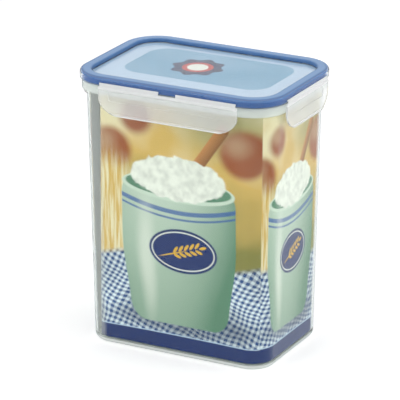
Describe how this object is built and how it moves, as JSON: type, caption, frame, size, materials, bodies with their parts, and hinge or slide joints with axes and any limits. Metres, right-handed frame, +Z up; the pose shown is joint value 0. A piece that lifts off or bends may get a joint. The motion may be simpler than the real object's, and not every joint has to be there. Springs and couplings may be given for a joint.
{
  "type": "food storage container",
  "caption": "Tall clear rectangular food keeper with a blue-sealed lid that lifts off, hinged locking flaps on each side and a printed card insert.",
  "frame": {"origin": "middle of the base, on the surface that the container stands on", "axes": "+Z up, X along the long side, Y along the short side, with -Y the front"},
  "size_m": [0.1482, 0.1042, 0.185],
  "materials": {
    "clear_body": "clear polypropylene, glossy",
    "clear_lid": "clear polypropylene, slightly milky",
    "clear_flap": "clear polypropylene, slightly milky",
    "blue_silicone": "silicone, seen through the lid's rim",
    "printed_card": "printed coated card",
    "printed_lid_card": "printed coated card"
  },
  "bodies": {
    "container": {"container_body": "clear_body", "label_sleeve": "printed_card"},
    "lid": {"lid_panel": "clear_lid", "lid_seal": "blue_silicone", "lid_card": "printed_lid_card"},
    "flap_front": {"front_flap": "clear_flap"},
    "flap_right": {"right_flap": "clear_flap"},
    "flap_back": {"back_flap": "clear_flap"},
    "flap_left": {"left_flap": "clear_flap"}
  },
  "joints": [
    {"name": "lid_lift", "type": "slide", "parent": "container", "child": "lid", "axis": [0, 0, 1], "range_m": [0, 0.06]},
    {"name": "front_flap_hinge", "type": "hinge", "parent": "lid", "child": "flap_front", "pos_m": [0, -0.0513, 0.1811], "axis": [-1, 0, 0], "range_deg": [-4.5, 145]},
    {"name": "right_flap_hinge", "type": "hinge", "parent": "lid", "child": "flap_right", "pos_m": [0.0732, 0, 0.1811], "axis": [0, -1, 0], "range_deg": [-4.5, 145]},
    {"name": "back_flap_hinge", "type": "hinge", "parent": "lid", "child": "flap_back", "pos_m": [0, 0.0513, 0.1811], "axis": [1, 0, 0], "range_deg": [-4.5, 145]},
    {"name": "left_flap_hinge", "type": "hinge", "parent": "lid", "child": "flap_left", "pos_m": [-0.0732, 0, 0.1811], "axis": [0, 1, 0], "range_deg": [-4.5, 145]}
  ]
}
